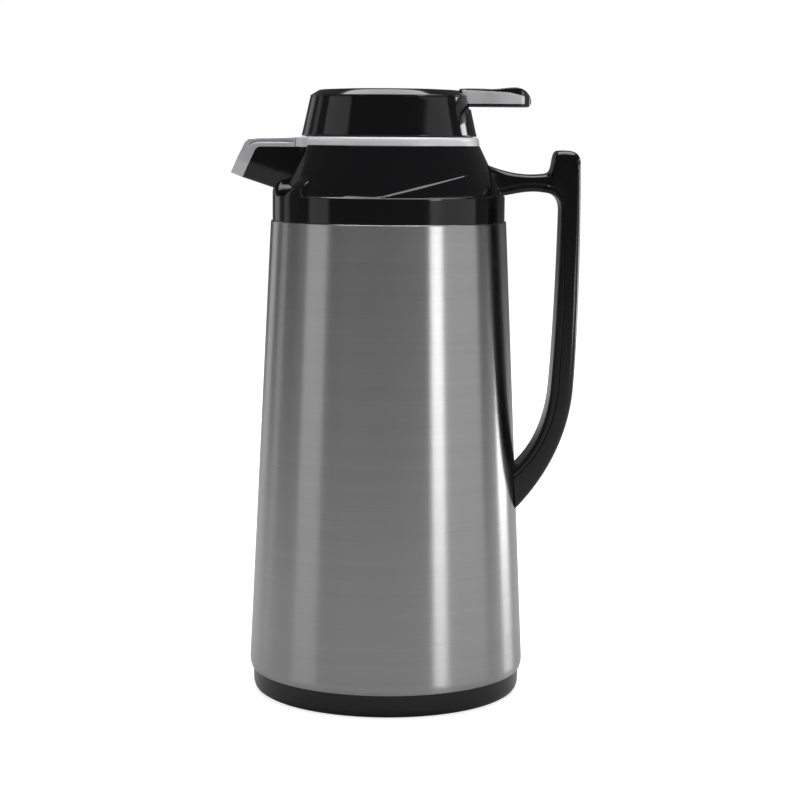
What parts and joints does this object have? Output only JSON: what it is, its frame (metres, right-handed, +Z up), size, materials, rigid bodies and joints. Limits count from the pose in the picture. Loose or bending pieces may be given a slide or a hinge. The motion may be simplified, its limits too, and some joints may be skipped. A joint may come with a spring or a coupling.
{
  "type": "thermal carafe",
  "caption": "Vacuum carafe with a tapered brushed steel casing, black shoulder and spout, D-shaped handle, and a screw-in lid with a thumb lever that opens a pouring valve.",
  "frame": {"origin": "centre of the foot on the table, on the axis of the casing", "axes": "+Z up along the casing's axis, -X towards the spout, +X towards the handle and the thumb lever"},
  "size_m": [0.1647, 0.1314, 0.2877],
  "materials": {
    "casing_steel": "brushed round the axis",
    "base_plastic": "moulded, gloss",
    "plug_plastic": "moulded, fine texture",
    "cushion_rubber": "moulded rubber",
    "liner_glass": "silvered between the walls",
    "gasket_silicone": "moulded silicone",
    "shoulder_plastic": "moulded, high gloss",
    "ring_chrome": "plated, polished",
    "spout_chrome": "plated, satin",
    "handle_plastic": "moulded, high gloss",
    "cover_plastic": "moulded, gloss",
    "handle_screw_steel": "bright steel",
    "seal_silicone": "moulded silicone",
    "stopper_plastic": "moulded",
    "lid_gasket_silicone": "moulded silicone",
    "lid_plastic": "moulded, high gloss",
    "cap_plastic": "moulded, gloss",
    "pin_steel": "drawn rod",
    "lid_screw_steel": "bright steel",
    "spring_steel": "spring wire",
    "lever_plastic": "moulded, gloss",
    "inlay_chrome": "plated, satin",
    "rod_plastic": "moulded",
    "washer_silicone": "moulded silicone",
    "retainer_plastic": "moulded",
    "button_plastic": "moulded"
  },
  "bodies": {
    "carafe": {"casing": "casing_steel", "base_ring": "base_plastic", "base_plug": "plug_plastic", "liner_cushion": "cushion_rubber", "vacuum_liner": "liner_glass", "neck_gasket": "gasket_silicone", "shoulder": "shoulder_plastic", "shoulder_ring": "ring_chrome", "spout_trim": "spout_chrome", "handle_grip": "handle_plastic", "handle_cover": "cover_plastic", "handle_screws": "handle_screw_steel"},
    "seal": {"stopper_seal": "seal_silicone"},
    "lid": {"stopper_body": "stopper_plastic", "lid_gasket": "lid_gasket_silicone", "lid_cover": "lid_plastic", "lid_top": "cap_plastic", "lever_pin": "pin_steel", "lid_screws": "lid_screw_steel", "valve_spring": "spring_steel"},
    "thumb_lever": {"lever": "lever_plastic", "lever_trim": "inlay_chrome"},
    "valve": {"valve_rod": "rod_plastic", "valve_washer": "washer_silicone", "valve_retainer": "retainer_plastic", "rod_button": "button_plastic"}
  },
  "joints": [
    {"name": "lid_lift", "type": "slide", "parent": "carafe", "child": "seal", "axis": [0, 0, 1], "range_m": [0, 0.005]},
    {"name": "lid_turn", "type": "hinge", "parent": "seal", "child": "lid", "pos_m": [0, 0, 0.25], "axis": [0, 0, 1], "range_deg": [0, 360]},
    {"name": "lever_press", "type": "hinge", "parent": "lid", "child": "thumb_lever", "pos_m": [0.0305, 0, 0.2807], "axis": [0, 1, 0], "range_deg": [0, 7]},
    {"name": "valve_open", "type": "slide", "parent": "lid", "child": "valve", "axis": [0, 0, 1], "range_m": [0, 0.00373], "deforming": ["valve_spring"]}
  ],
  "couplings": [
    {"joint": "lid_lift", "follows": "lid_turn", "m_per_rad": 0.00079577},
    {"joint": "valve_open", "follows": "lever_press", "m_per_rad": 0.0305}
  ]
}
